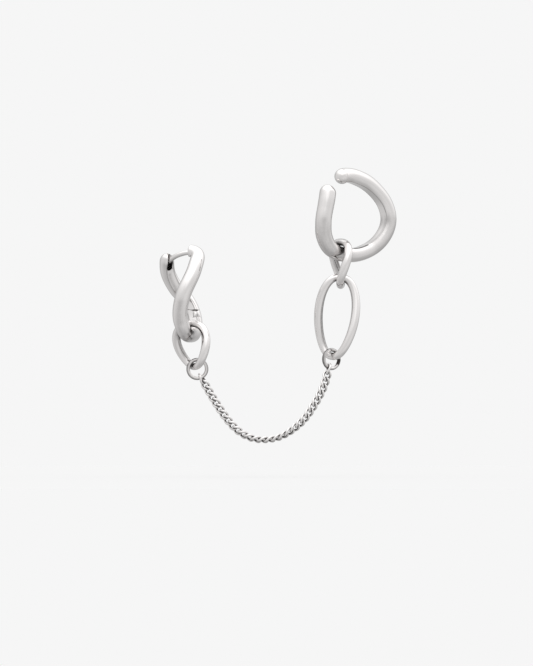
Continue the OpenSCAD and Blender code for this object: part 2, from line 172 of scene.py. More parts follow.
HOOP_TALL, HOOP_DEEP, HOOP_WIRE, HOOP_FLAT, HOOP_SQUARE = 14.0, 9.0, 2.5, 0.22, 0.6
FRONT_END, LEVER_END, FRONT_ROUND = 2.7, 27.0, 0.5
HINGE_AT, HINGE_TURN, PAST_PIN = 122.0, 15.0, 9.0
BARREL_D, BARREL_SHOW, TONGUE_W, PIN_D = 2.2, 0.65, 0.6, 0.7
HINGE_GAP, PIN_PLAY, PIN_INSET = 0.05, 0.02, 0.125
POST_D, POST_PLAY, POST_SEAT, SLOT_SEAT, SLOT_SHIFT, SLOT_PAST = 0.8, 0.1, 11.3, 20.0, 0.25, 0.4
POST_BEND_OUT, POST_BEND_IN = 1.6, 2.8
# height share, turn in degrees, sideways shift share, thickness share
HOOP = np.array([
    [-1.00, -17, 0.089, 0.97],
    [-0.60, -17, 0.054, 1.00],
    [-0.20, -6, 0.020, 1.02],
    [0.10, 10, -0.020, 1.02],
    [0.45, 29, -0.027, 1.00],
    [0.75, 45.5, -0.012, 0.97],
    [1.00, 72, 0.018, 0.88],
])
STEP = 0.4  # half the stretch of a line that gives its direction, in the line's own units


def unit(v):
    """Vectors of length one along v."""
    v = np.asarray(v, float)
    return v / np.linalg.norm(v, axis=-1, keepdims=True)


def through(table, x, column):
    """Smooth curve through one column of a table at x: between two rows a cubic whose end slopes are the chords
    over the neighbouring rows."""
    x = np.asarray(x, float)
    last = len(table) - 1
    i = np.clip(np.searchsorted(table[:, 0], x, side="right") - 1, 0, last - 1)
    at, value = table[:, 0], table[:, column]
    span = at[i + 1] - at[i]
    f = (x - at[i]) / span

    def slope(k):
        above, below = np.minimum(k + 1, last), np.maximum(k - 1, 0)
        return (value[above] - value[below]) / (at[above] - at[below]) * span

    return (
        value[i] * (1 + 2 * f) * (1 - f) ** 2
        + slope(i) * f * (1 - f) ** 2
        + value[i + 1] * f * f * (3 - 2 * f)
        - slope(i + 1) * f * f * (1 - f)
    )


def swing(t, square):
    """The sine of t in degrees, drawn out towards a square wave: its sign times its size to the power square."""
    s = np.sin(np.radians(t))
    return np.sign(s) * np.abs(s) ** square


def hoop_turn(t):
    """How far the hoop's plane is turned about Z at t, read from the table."""
    return np.radians(through(HOOP, np.cos(np.radians(t)), 1))


def hoop_face(t):
    """The way the hoop's plane faces at t."""
    return np.stack([np.cos(hoop_turn(t)), np.sin(hoop_turn(t)), 0 * hoop_turn(t)], -1)


def hoop_raw(t):
    """Middle of the hoop's wire at t degrees from the top: half the depth times the drawn-out sine, laid along the
    turned plane, with the sideways shift added, and half the height times one plus the cosine upwards."""
    t = np.asarray(t, float)
    height = np.cos(np.radians(t))
    reach = swing(t, HOOP_SQUARE) * HOOP_DEEP / 2
    turn = hoop_turn(t)
    return np.stack([
        reach * np.sin(turn) + through(HOOP, height, 2) * HOOP_TALL,
        -reach * np.cos(turn),
        HOOP_TALL / 2 * (1 + height),
    ], -1)


HINGE_AXIS = np.array([math.cos(math.radians(HINGE_TURN)), math.sin(math.radians(HINGE_TURN)), 0])
BACK = np.array([-HINGE_AXIS[1], HINGE_AXIS[0], 0])
SLOT_T = 360 - LEVER_END - SLOT_SEAT
post_start = hoop_raw(FRONT_END + POST_SEAT)
post_end = hoop_raw(SLOT_T) + SLOT_SHIFT * HINGE_AXIS
post_knots = np.array([
    post_start,
    post_start + POST_BEND_OUT * unit([-1, 0.3, 0.12]),
    post_end - POST_BEND_IN * unit(0.85 * BACK + 0.17 * HINGE_AXIS + np.array([0, 0, -0.5])),
    post_end,
])
post_middle = np.array([1, 3, 3, 1]) @ post_knots / 8
post_knots = post_knots - post_middle


def hoop_line(t):
    """Middle of the hoop's wire with the origin in the middle of the ear post."""
    return hoop_raw(t) - post_middle


def hoop_radius(t):
    """Half the wire's thickness at t."""
    return HOOP_WIRE / 2 * through(HOOP, np.cos(np.radians(t)), 3)


def post_line(t):
    """Middle of the post: a curve of four knots, from its seat at 0 to the lever's slot at 100."""
    s = np.asarray(t, float)[..., None] / 100
    r = 1 - s
    first, second, third, last = post_knots
    return r ** 3 * first + 3 * r * r * s * second + 3 * r * s * s * third + s ** 3 * last


def d_profile(flat_at, corner=0.03):
    """Round section with one flat side: pairs of outward and sideways reach for a radius of one. Outward is the
    cosine, held by a smooth maximum at -flat_at, and the places crowd where the round meets the flat."""
    edge = math.degrees(math.acos(-min(flat_at, 1.0)))
    q = np.concatenate([
        np.linspace(0, edge - 10, 26, endpoint=False),
        np.linspace(edge - 10, edge + 10, 15),
        np.linspace(edge + 10, 180, 6)[1:] if edge < 168 else np.array([180.0]),
    ])
    q = np.radians(np.concatenate([q, 360 - q[-2:0:-1]]))
    low = np.cos(q) - flat_at
    return np.stack([0.5 * (low + np.sqrt((np.cos(q) + flat_at) ** 2 + corner ** 2)), np.sin(q)], -1)


def round_profile(sides):
    """Round section: pairs of outward and sideways reach for a radius of one."""
    q = np.linspace(0, 2 * np.pi, sides, endpoint=False)
    return np.stack([np.cos(q), np.sin(q)], -1)


def even(line, t0, t1, count):
    """Places from t0 to t1 that lie equally far apart along the line."""
    t = np.linspace(t0, t1, 4001)
    gone = np.concatenate([[0], np.cumsum(np.linalg.norm(np.diff(line(t), axis=0), axis=1))])
    return np.interp(np.linspace(0, gone[-1], count), gone, t)


def run(line, t0, t1, round0, round1, count):
    """Places and radius shares along a wire. Over the last round0 or round1 millimetres of a rounded end the share
    is the sine of an angle that grows to a right angle, and the place moves by one minus its cosine."""
    speed = [np.linalg.norm(line(t + STEP) - line(t - STEP)) / (2 * STEP) for t in (t0, t1)]
    way = np.sign(t1 - t0)
    s0, s1 = t0 + way * round0 / speed[0], t1 - way * round1 / speed[1]
    a = np.radians(np.linspace(5, 85, 13))
    body = even(line, s0, s1, count)
    places, shares = [body], [np.ones(count)]
    if round0:
        places.insert(0, t0 + (s0 - t0) * (1 - np.cos(a)))
        shares.insert(0, np.sin(a))
    if round1:
        places.append((t1 + (s1 - t1) * (1 - np.cos(a)))[::-1])
        shares.append(np.sin(a)[::-1])
    return np.concatenate(places), np.concatenate(shares)


def way_along(line, t):
    """The direction of a line at t: from the point one step before it to the point one step after."""
    return unit(line(t + STEP) - line(t - STEP))


def rings_along(line, face, t, radius, profile):
    """Grid of points, one ring for each place t: the line's point plus radius times the profile, laid outwards (the
    line's direction crossed with the way the loop faces) and sideways."""
    way = way_along(line, t)
    out = unit(np.cross(way, face(t)))
    across = np.cross(out, way)
    laid = profile[None, :, :1] * out[:, None] + profile[None, :, 1:] * across[:, None]
    return line(t)[:, None] + np.asarray(radius)[..., None, None] * laid


def closed_skin(name, rings, looped, tips=None, painted_shade=0.0):
    """Closed mesh over a grid of rings: four-sided faces between neighbouring rings, and fans to a tip at each open
    end. Faces are turned outwards if the enclosed volume comes out negative. The last argument is the share of
    painted shade, a dark colour that stands in for shade, at each ring and each place round it."""
    n, m = rings.shape[:2]
    points = rings.reshape(-1, 3)
    i = np.arange(n if looped else n - 1)[:, None]
    k = np.arange(m)[None]
    near, far = i * m, (i + 1) % n * m
    quads = np.stack([near + k, near + (k + 1) % m, far + (k + 1) % m, far + k], -1).reshape(-1, 4)
    fans = np.zeros((0, 3), int)
    if not looped:
        points = np.concatenate([points, tips])
        k = np.arange(m)
        first = np.stack([(k + 1) % m, k, np.full(m, n * m)], -1)
        last = np.stack([k, (k + 1) % m, np.full(m, n * m + 1)], -1) + np.array([[(n - 1) * m, (n - 1) * m, 0]])
        fans = np.concatenate([first, last])
    corners = np.concatenate([quads[:, [0, 1, 2]], quads[:, [0, 2, 3]], fans])
    a, b, c = (points[corners[:, j]] for j in range(3))
    if np.einsum("ij,ij->i", a, np.cross(b, c)).sum() < 0:
        quads, fans = quads[:, ::-1], fans[:, ::-1]
    mesh = bpy.data.meshes.new(name)
    mesh.from_pydata((points * MM).tolist(), [], quads.tolist() + fans.tolist())
    mesh.shade_smooth()
    # the painted shade is kept on the points as an attribute that the metal reads
    share = np.zeros(len(points), np.float32)
    share[: n * m] = np.broadcast_to(painted_shade, (n, m)).ravel()
    mesh.attributes.new("painted_shade", "FLOAT", "POINT").data.foreach_set("value", share)
    piece = bpy.data.objects.new(name, mesh)
    bpy.context.scene.collection.objects.link(piece)
    return piece


def prism(outline, frame_of, low, high):
    """Solid with a flat outline: the outline's points in the first two directions of a frame, from low to high along
    its third."""
    origin, x, y, z = frame_of
    n = len(outline)
    flat = origin + outline[:, :1] * x + outline[:, 1:] * y
    points = np.concatenate([flat + low * z, flat + high * z])
    k = np.arange(n)
    walls = np.stack([k, (k + 1) % n, (k + 1) % n + n, k + n], -1).tolist()
    mesh = bpy.data.meshes.new("cutter")
    mesh.from_pydata((points * MM).tolist(), [], walls + [k[::-1].tolist(), (k + n).tolist()])
    piece = bpy.data.objects.new("cutter", mesh)
    bpy.context.scene.collection.objects.link(piece)
    return piece


def carve(piece, cutters, operation="DIFFERENCE"):
    """Cuts the cutters out of a piece, or joins them to it, and keeps the result as the piece's own mesh."""
    for cutter in cutters:
        cut = piece.modifiers.new("cut", "BOOLEAN")
        cut.operation, cut.solver, cut.object = operation, "EXACT", cutter
    bpy.context.view_layer.update()
    evaluated = piece.evaluated_get(bpy.context.evaluated_depsgraph_get())
    made = bpy.data.meshes.new_from_object(evaluated)
    piece.modifiers.clear()
    made.name = piece.name
    piece.data = made
    made.set_sharp_from_angle(angle=math.radians(32))
    for cutter in cutters:
        bpy.data.objects.remove(cutter)


def flat_corners(line, face, t, radius, flat_at):
    """The two lines along a D-shaped wire where its round side meets its flat one."""
    side = math.sqrt(1 - flat_at ** 2)
    return rings_along(line, face, t, radius, np.array([[-flat_at, -side], [-flat_at, side]])).reshape(-1, 3)


def on_skin(line, face, t, radius, q):
    """Points on a wire's skin: at each place t, the radius laid at q degrees round from outwards."""
    t, q = np.broadcast_arrays(np.asarray(t, float), np.radians(q))
    laid = rings_along(line, face, t, radius, np.stack([np.cos(q), np.sin(q)], -1))
    return laid[range(len(t)), range(len(t))]


def vertex_places(mesh):
    """A mesh's vertices in millimetres."""
    places = np.empty(3 * len(mesh.vertices))
    mesh.vertices.foreach_get("co", places)
    return places.reshape(-1, 3) / MM


def darken(piece, marks, share_at=None):
    """Adds painted shade to a piece's own. Each mark is a line of points, a clearance, a reach and a strength: the
    painted shade is the strength times the bell curve of how far a vertex lies beyond the clearance, over the reach.
    share_at gives the painted shade at places by a rule of its own. The darkest of all holds."""
    mesh = piece.data
    places = vertex_places(mesh)
    share = np.zeros(len(places), np.float32)
    if "painted_shade" in mesh.attributes:
        mesh.attributes["painted_shade"].data.foreach_get("value", share)
        mesh.attributes.remove(mesh.attributes["painted_shade"])
    for points, clearance, reach, strength in marks:
        square = (places ** 2).sum(1)[:, None] + (points ** 2).sum(1)[None] - 2 * places @ points.T
        beyond = np.maximum(np.sqrt(np.maximum(square.min(1), 0)) - clearance, 0)
        share = np.maximum(share, strength * np.exp(-(beyond / reach) ** 2))
    if share_at:
        share = np.maximum(share, share_at(places))
    mesh.attributes.new("painted_shade", "FLOAT", "POINT").data.foreach_set("value", share.astype(np.float32))


def arc(radius, start, stop, count=48):
    """Points on a circle from start to stop degrees."""
    q = np.radians(np.linspace(start, stop, count))
    return radius * np.stack([np.cos(q), np.sin(q)], -1)


def square_frame(origin, way, axis):
    """A frame at origin: way made square to axis, the direction across, and axis itself."""
    x = unit(way - (way @ axis) * axis)
    return origin, x, np.cross(axis, x), axis


HINGE_T = 360 - HINGE_AT
hinge_frame = square_frame(hoop_line(HINGE_T), way_along(hoop_line, HINGE_T), HINGE_AXIS)
CUTTER = 5.0  # half the length of a cutter


def past_barrel(side):
    """All that lies past the barrel on one side of the pin: a block whose near edge runs round the barrel. The other
    side's block is the same one turned half round."""
    turn = math.degrees(math.acos(BARREL_SHOW / (BARREL_D / 2)))
    outline = np.concatenate([
        arc(BARREL_D / 2, 180 - turn, turn - 180, 97),
        [[-BARREL_SHOW, -CUTTER], [2 * CUTTER, -CUTTER], [2 * CUTTER, CUTTER], [-BARREL_SHOW, CUTTER]],
    ])
    return prism(side * outline, hinge_frame, -CUTTER, CUTTER)


def polish_and_shade():
    """Shared finish and painted shade: soft waves left by polishing by hand, faint fine marks, and the painted shade
    laid on the mesh, broken up by the fine marks. Metal is 1 on bare metal and falls to 0 where the painted shade
    hides it."""
    group = bpy.data.node_groups.new("hand polish and painted shade", "ShaderNodeTree")
    for name, value in [("Wave size", 320.0), ("Wave height", 0.6), ("Mark size", 2600.0), ("Mark height", 0.08),
                        ("Smoothest", 0.04), ("Roughest", 0.09), ("Painted shade roughness", 0.08)]:
        group.interface.new_socket(name, in_out="INPUT", socket_type="NodeSocketFloat").default_value = value
    for name in ("Height", "Roughness", "Painted shade", "Metal"):
        group.interface.new_socket(name, in_out="OUTPUT", socket_type="NodeSocketFloat")
    inside = add_node(group, "NodeGroupInput").outputs
    where = add_node(group, "ShaderNodeTexCoord").outputs["Object"]
    waves = add_node(group, "ShaderNodeTexNoise", {"Vector": where, "Scale": inside["Wave size"], "Detail": 1.0})
    marks = add_node(group, "ShaderNodeTexNoise", {"Vector": where, "Scale": inside["Mark size"], "Detail": 3.0})
    fine = marks.outputs["Fac"]
    wave_part = add_node(group, "ShaderNodeMath", {0: waves.outputs["Fac"], 1: inside["Wave height"]},
                         operation="MULTIPLY")
    height = add_node(group, "ShaderNodeMath", {0: fine, 1: inside["Mark height"], 2: wave_part.outputs[0]},
                      operation="MULTIPLY_ADD")
    smooth = add_node(group, "ShaderNodeMapRange", {
        "Value": fine, "From Min": 0.3, "From Max": 0.7, "To Min": inside["Smoothest"], "To Max": inside["Roughest"]})
    # the painted shade: a dark colour standing in for shade in creases, hollows and where pieces touch
    laid = add_node(group, "ShaderNodeAttribute", attribute_name="painted_shade").outputs["Fac"]
    broken = add_node(group, "ShaderNodeMapRange", {
        "Value": fine, "From Min": 0.3, "From Max": 0.7, "To Min": 0.75, "To Max": 1.0})
    painted_shade = add_node(group, "ShaderNodeMath", {0: laid, 1: broken.outputs["Result"]},
                    operation="MULTIPLY", use_clamp=True)
    rough = add_node(group, "ShaderNodeMath", {
        0: painted_shade.outputs[0], 1: inside["Painted shade roughness"], 2: smooth.outputs["Result"]}, operation="MULTIPLY_ADD")
    bare = add_node(group, "ShaderNodeMapRange", {
        "Value": painted_shade.outputs[0], "From Min": 0.7, "From Max": 1.0, "To Min": 1.0, "To Max": 0.0})
    add_node(group, "NodeGroupOutput", {
        "Height": height.outputs[0], "Roughness": rough.outputs[0],
        "Painted shade": painted_shade.outputs[0], "Metal": bare.outputs[0]})
    return group


POLISH_AND_SHADE = polish_and_shade()
SILVER = (0.84, 0.819, 0.811)
# the dark colour that is painted where shade falls
PAINTED_SHADE_COLOUR = (0.04, 0.036, 0.034)
PAINTED_SHADE_SHINE = 0.15  # mirrored light of the painted shade where it hides the metal


def metal(name, colour, shade_colour, **values):
    """A polished metal: one colour, turned to a dark colour where shade is painted on it, with the shared finish on
    it.
    """
    paint = bpy.data.materials.new(name)
    paint.use_nodes = True
    tree = paint.node_tree
    shader = tree.nodes["Principled BSDF"]
    shader.inputs["Specular IOR Level"].default_value = PAINTED_SHADE_SHINE
    finish = add_node(tree, "ShaderNodeGroup", node_tree=POLISH_AND_SHADE)
    tree.links.new(finish.outputs["Metal"], shader.inputs["Metallic"])
    for key, value in values.items():
        finish.inputs[key.replace("_", " ")].default_value = value
    mix = add_node(tree, "ShaderNodeMix", {"Factor": finish.outputs["Painted shade"]}, data_type="RGBA")
    mix.inputs[6].default_value = (*colour, 1)  # a colour mix's sockets: 6 and 7 take the colours
    mix.inputs[7].default_value = (*shade_colour, 1)
    bump = add_node(tree, "ShaderNodeBump", {
        "Height": finish.outputs["Height"], "Strength": 0.5, "Distance": 0.00002})
    tree.links.new(mix.outputs[2], shader.inputs["Base Color"])  # and 2 gives the mixed one
    tree.links.new(finish.outputs["Roughness"], shader.inputs["Roughness"])
    tree.links.new(bump.outputs["Normal"], shader.inputs["Normal"])
    return paint


cast_silver = metal("polished cast silver", SILVER, PAINTED_SHADE_COLOUR)


def seat(piece, paint, body, slot, *nodes):
    """Gives a finished piece its metal and its body and hides the solids that it stands for; its slot is not used."""
    piece.data.materials.clear()
    piece.data.materials.append(paint)
    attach(piece, body)
    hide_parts(*nodes)


hoop_flat_at = 1 - HOOP_FLAT / (HOOP_WIRE / 2)
hoop_profile = d_profile(hoop_flat_at)


def hoop_edges(t):
    """Points at t on the hoop's two lines between its round side and its flat one."""
    return flat_corners(hoop_line, hoop_face, t, hoop_radius(t), hoop_flat_at)


def on_hoop(t, q):
    """Points on the hoop's skin at t, q degrees round from outwards."""
    return on_skin(hoop_line, hoop_face, t, hoop_radius(t), q)


hoop_corners = hoop_edges(even(hoop_line, FRONT_END, 360 - LEVER_END, 900))
t, share = run(hoop_line, FRONT_END, HINGE_T + PAST_PIN, FRONT_ROUND, 0, 230)
end_edge = on_skin(hoop_line, hoop_face, t[7], hoop_radius(t[7]) * share[7], np.arange(120, 240, 6.0))
front_bar = closed_skin(
    "front_bar", rings_along(hoop_line, hoop_face, t, hoop_radius(t) * share, hoop_profile), False,
    tips=hoop_line(np.array([FRONT_END, HINGE_T + PAST_PIN])))
post_face = unit(np.cross(post_knots[3] - post_knots[0], [0, 0, 1]))
t, share = run(post_line, 0, 100, 0, POST_D / 4, 90)
post_rings = rings_along(
    post_line, lambda t: np.broadcast_to(post_face, (len(t), 3)), t, POST_D / 2 * share, round_profile(40))
post = closed_skin("post", post_rings, False, tips=post_line(np.array([0.0, 100.0])))
cheek = BARREL_D / 2 + HINGE_GAP
fork = [
    past_barrel(1),
    prism(arc(cheek, 0, 360, 97)[:-1], hinge_frame, -TONGUE_W / 2 - HINGE_GAP, TONGUE_W / 2 + HINGE_GAP),
    prism(arc(PIN_D / 2 + PIN_PLAY, 0, 360, 49)[:-1], hinge_frame, -CUTTER, CUTTER),
]
carve(front_bar, fork)
carve(front_bar, [post], "UNION")


def at_seams(places):
    """Painted shade in the hinge's seams: on the edges of the round barrel and on both sides of the tongue."""
    local = (places - hinge_frame[0]) @ np.stack(hinge_frame[1:], -1)
    out = np.hypot(local[:, 0], local[:, 1])
    barrel_edge = (np.abs(np.abs(local[:, 0]) - BARREL_SHOW) < 0.02) & (np.abs(out - HOOP_WIRE / 2) < 0.25)
    from_gap = np.abs(np.abs(local[:, 2]) - TONGUE_W / 2 - HINGE_GAP / 2)
    tongue_side = (from_gap < HINGE_GAP / 2 + 0.01) & (out < BARREL_D / 2 + 0.08)
    return np.maximum(0.5 * barrel_edge, 0.3 * tongue_side)


# Painted shade on the front bar: dark lines along its creases and round its end, shade under the post, a faint shaded
# band on its outside below the middle, a dark patch and a line on the side of its foot where it lies in shade, a band
# along the outside of the foot, and shade in the hinge's seams.
shade_at = np.linspace(153, 168, 30)
darken(front_bar, [
    (hoop_corners, 0, 0.13, 0.6),
    (end_edge, 0, 0.12, 0.7),
    (post_line(np.linspace(4, 90, 90)) - [0, 0, POST_D / 2], 0, 0.22, 0.65),
    (on_hoop(np.linspace(102, 130, 50), np.linspace(0, 20, 50)), 0, 0.6, 0.28),
    (on_hoop(shade_at, np.linspace(84, 116, 30)), 0, 0.5, 1.35),
    (on_hoop(shade_at, 48), 0, 0.22, 0.8),
    (on_hoop(np.linspace(154, 192, 60), 0), 0, 0.4, 0.4),
], at_seams)
seat(front_bar, cast_silver, "earring", "silver", "hoop_front")


# ---------------------------------------------------------------- Lever
# The back half of the hoop, cast in the same metal, swings on the hinge. Its foot is milled down to a tongue between
# the fork's cheeks, and its tip has a slot that is snapped over the ear post.

t, share = run(hoop_line, HINGE_T - PAST_PIN, 360 - LEVER_END, 0, HOOP_WIRE / 2, 130)
lever_bar = closed_skin(
    "lever_bar", rings_along(hoop_line, hoop_face, t, hoop_radius(t) * share, hoop_profile), False,
    tips=hoop_line(np.array([HINGE_T - PAST_PIN, 360 - LEVER_END])))
slot_wide = POST_D + 2 * POST_PLAY
slot_origin, slot_up, slot_back, slot_across = square_frame(
    post_knots[3], way_along(hoop_line, SLOT_T), HINGE_AXIS)
slot_outline = np.concatenate([
    arc(slot_wide / 2, 90, 270, 25), [[2 * CUTTER, -slot_wide / 2], [2 * CUTTER, slot_wide / 2]]])
carve(lever_bar, [
    past_barrel(-1),
    prism(arc(cheek, 0, 360, 97)[:-1], hinge_frame, TONGUE_W / 2, CUTTER),
    prism(arc(cheek, 0, 360, 97)[:-1], hinge_frame, -CUTTER, -TONGUE_W / 2),
    prism(arc(PIN_D / 2 + HINGE_GAP, 0, 360, 49)[:-1], hinge_frame, -CUTTER, CUTTER),
    prism(slot_outline, (slot_origin, slot_up, -slot_across, slot_back), -SLOT_PAST, 2 * CUTTER),
])
# Painted shade on the lever: dark lines along its creases, heavier along its middle and upper part, a line of shade
# near its inner flat side, and shade in the hinge's seams.
darken(lever_bar, [
    (hoop_corners, 0, 0.1, 0.4),
    (hoop_edges(np.linspace(255, 320, 200)), 0, 0.16, 0.5),
    (on_hoop(np.linspace(276, 299, 40), -166), 0, 0.4, 0.5),
], at_seams)
seat(lever_bar, cast_silver, "lever", "silver", "hoop_lever")
# painted shadow: a near-black metal for the inside of the slot, where deep shade falls
lever_bar.data.materials.append(metal("slot shadow painted black", PAINTED_SHADE_COLOUR, (0.03, 0.03, 0.03), Smoothest=0.45, Roughest=0.6))
# the slot's faces painted black to stand for the shadow inside it are those whose vertices all lie on its wall or its
# floor
ON_WALL = 0.004
slot_ways = np.stack([slot_up, slot_back, slot_across], -1)
up, back, across = ((vertex_places(lever_bar.data) - slot_origin) @ slot_ways).T
from_wall = np.where(up < 0, np.hypot(up, across), np.abs(across)) - slot_wide / 2
on_floor = (np.abs(back + SLOT_PAST) < ON_WALL) & (from_wall < ON_WALL)
on_hole = ((np.abs(from_wall) < ON_WALL) | on_floor) & (up < 0.02)
corner_of = np.empty(len(lever_bar.data.loops), np.int32)
lever_bar.data.loops.foreach_get("vertex_index", corner_of)
starts = np.empty(len(lever_bar.data.polygons), np.int32)
lever_bar.data.polygons.foreach_get("loop_start", starts)
slot_shadow_faces = np.minimum.reduceat(on_hole[corner_of].astype(np.int32), starts)
lever_bar.data.polygons.foreach_set("material_index", slot_shadow_faces)


# ---------------------------------------------------------------- Hinge pin
# A drawn steel pin, riveted into the fork's cheeks and ground flush. It is turned: its ends are a little domed.

PIN_LONG, PIN_DOME = HOOP_WIRE - 2 * PIN_INSET, 0.06
drawn_steel = metal("drawn steel", (0.62, 0.61, 0.60), PAINTED_SHADE_COLOUR, Smoothest=0.2, Roughest=0.34)
a = np.radians(np.linspace(10, 90, 7))
pin_out = np.concatenate([PIN_D / 2 * np.sin(a), PIN_D / 2 * np.sin(a)[::-1]])
pin_at = PIN_LONG / 2 - np.concatenate([PIN_DOME * (1 - np.sin(a)), PIN_LONG - PIN_DOME * (1 - np.sin(a)[::-1])])
q = np.linspace(0, 2 * np.pi, 40, endpoint=False)
hinge_place, pin_x, pin_y, pin_z = hinge_frame
pin_rings = (
    hinge_place + pin_at[:, None, None] * pin_z
    + pin_out[:, None, None] * (np.cos(q)[None, :, None] * pin_x + np.sin(q)[None, :, None] * pin_y))
pin_tips = hinge_place + np.array([[PIN_LONG / 2], [-PIN_LONG / 2]]) * pin_z
hinge_rivet = closed_skin("hinge_rivet", pin_rings, False, tips=pin_tips)
seat(hinge_rivet, drawn_steel, "earring", "post_steel", "hinge_pin")


# ---------------------------------------------------------------- Lobe link
# A soldered link of round silver wire, thinner at its ends, twisted a little so that its two ends face differently.
# It hangs over the hoop's foot and carries the left jump ring.

PLAY = 0.1
SMALL_LONG, SMALL_WIDE, SMALL_SIDE, SMALL_END = 7.2, 5.8, 1.45, 1.2
LOBE_AT, LOBE_TURNS, LOBE_LEAN = 177.0, (10.0, 62.0), unit([0.15, 0, -1])
LINK_SQUARE = 0.8
CONTACT_SHADE = 0.5  # how far the painted shade reaches round a place where two pieces touch
drawn_silver = metal("polished silver wire", SILVER, PAINTED_SHADE_COLOUR, Wave_height=0.35)


def link_skin(name, long, wide, side, end, turns, middle, up, rings, sides,
              inner_shade=0.65, shade_from=0.6, crown_shade=0.0):
    """Closed twisted link: the middle of its wire is half the width times the drawn-out sine of t, laid at an angle
    that goes from one turn at the top to the other at the foot as one minus the cosine does, and half the length
    times the cosine. The wire's radius swells from end to side with the squared sine. Its top points along up.
    Painted shade grows on the link's inner side with the inward reach past a given start, and on the outside of its
    top. The middle line is handed back too."""
    top, foot = np.radians(turns)
    lean = math.atan2(up[0], up[2])
    tilt = np.array([[math.cos(lean), 0, math.sin(lean)], [0, 1, 0], [-math.sin(lean), 0, math.cos(lean)]])

    def turned(t):  # the turn at t, in radians
        return top + (foot - top) * (1 - np.cos(np.radians(t))) / 2

    def line(t):
        reach = wide / 2 * swing(t, LINK_SQUARE)
        local = np.stack([
            reach * np.cos(turned(t)), -reach * np.sin(turned(t)), long / 2 * np.cos(np.radians(t))], -1)
        return local @ tilt.T + middle

    def face(t):
        return np.stack([np.sin(turned(t)), np.cos(turned(t)), 0 * t], -1) @ tilt.T

    t = even(line, 0, 360, rings + 1)[:-1]
    radius = (end + (side - end) * np.sin(np.radians(t)) ** 2) / 2
    profile = round_profile(sides)
    painted_shade = inner_shade * np.clip((-profile[:, 0] - shade_from) / (1 - shade_from), 0, 1)[None]
    crown = np.exp(-(np.minimum(t, 360 - t) / 34) ** 2)[:, None] * np.clip(profile[:, 0] - 0.55, 0, 1)[None] / 0.45
    painted_shade = np.maximum(painted_shade, crown_shade * crown)
    skin = closed_skin(name, rings_along(line, face, t, radius, profile), True, painted_shade=painted_shade)
    return skin, line(np.arange(0, 360, 2.0))


lobe_top = hoop_line(LOBE_AT) + [0, 0, hoop_radius(180) + PLAY + SMALL_END / 2]
lobe_foot = lobe_top + SMALL_LONG * LOBE_LEAN
# the lobe link gets painted shade on its inner side and on the outside of its top
lobe_twist, lobe_wire = link_skin(
    "lobe_twist_link", SMALL_LONG, SMALL_WIDE, SMALL_SIDE, SMALL_END, LOBE_TURNS, (lobe_top + lobe_foot) / 2,
    -LOBE_LEAN, 150, 44, crown_shade=0.7)
# Painted shade where the lobe link and the hoop's foot touch, on both, with a faint wide shade round the foot.
darken(lobe_twist, [(hoop_line(np.linspace(150, 210, 240)), HOOP_WIRE / 2, 0.7, 1.35)])
darken(front_bar, [
    (lobe_wire, SMALL_END / 2, 0.7, 1.2), (hoop_line(np.linspace(155, 195, 60)), HOOP_WIRE / 2, 1.0, 0.12)])
seat(lobe_twist, drawn_silver, "earring", "silver", "lobe_link")


# ---------------------------------------------------------------- Cuff
# The open cuff is cast silver with its flat side to the ear. Its back end swells to a ball and its front end is
# rounded, so that it slides over the ear's rim and is pinched to fit.

CUFF_TALL, CUFF_WIRE, CUFF_FLAT, CUFF_BALL, CUFF_TURN = 13.8, 2.75, 0.3, 2.55, math.radians(38)
CUFF_AT = np.array([27.5, 1.5, 20.0])
BALL_AT, TIP_AT = -19.0, 318.8
# degrees from the top, radius share, forward reach share, thickness share
CUFF = np.array([
    [-45, 0.900, 1.0, 0.93],
    [-20, 0.990, 0.2, 0.96],
    [10, 0.862, 0, 1.02],
    [40, 0.772, 0, 0.98],
    [70, 0.775, 0, 0.97],
    [100, 0.820, 0, 0.98],
    [130, 0.846, 0, 0.99],
    [160, 0.888, 0, 0.98],
    [185, 0.950, 0, 0.95],
    [215, 1.005, 0, 0.96],
    [235, 0.913, 0, 1.00],
    [255, 0.800, 0, 1.00],
    [280, 0.743, 0, 1.00],
    [300, 0.790, -0.03, 1.02],
    [319, 0.945, -0.17, 1.00],
])
cuff_middle = hoop_line(180.0) + CUFF_AT
cuff_flat_at = 1 - CUFF_FLAT / (CUFF_WIRE / 2)


def cuff_line(t):
    """Middle of the cuff's wire: a radius read from the table, laid in an upright plane that is turned about Z, and
    brought forward by the table's share of the wire's thickness."""
    t = np.asarray(t, float)
    r = CUFF_TALL / 2 * through(CUFF, t, 1)
    x = r * np.sin(np.radians(t))
    return cuff_middle + np.stack([
        x, x * math.tan(CUFF_TURN) - CUFF_WIRE * through(CUFF, t, 2), r * np.cos(np.radians(t))], -1)


def cuff_face(t):
    """The way the cuff's plane faces, the same all round."""
    return np.broadcast_to([-math.sin(CUFF_TURN), math.cos(CUFF_TURN), 0.0], (*np.shape(t), 3))


def cuff_radius(t):
    """Half the wire's thickness at t."""
    return CUFF_WIRE / 2 * through(CUFF, t, 3)


def cuff_edges(t):
    """Points at t on the cuff's two lines between its round side and its flat one."""
    return flat_corners(cuff_line, cuff_face, t, cuff_radius(t), cuff_flat_at)


def on_cuff(t, q):
    """Points on the cuff's skin at t, q degrees round from outwards."""
    return on_skin(cuff_line, cuff_face, t, cuff_radius(t), q)


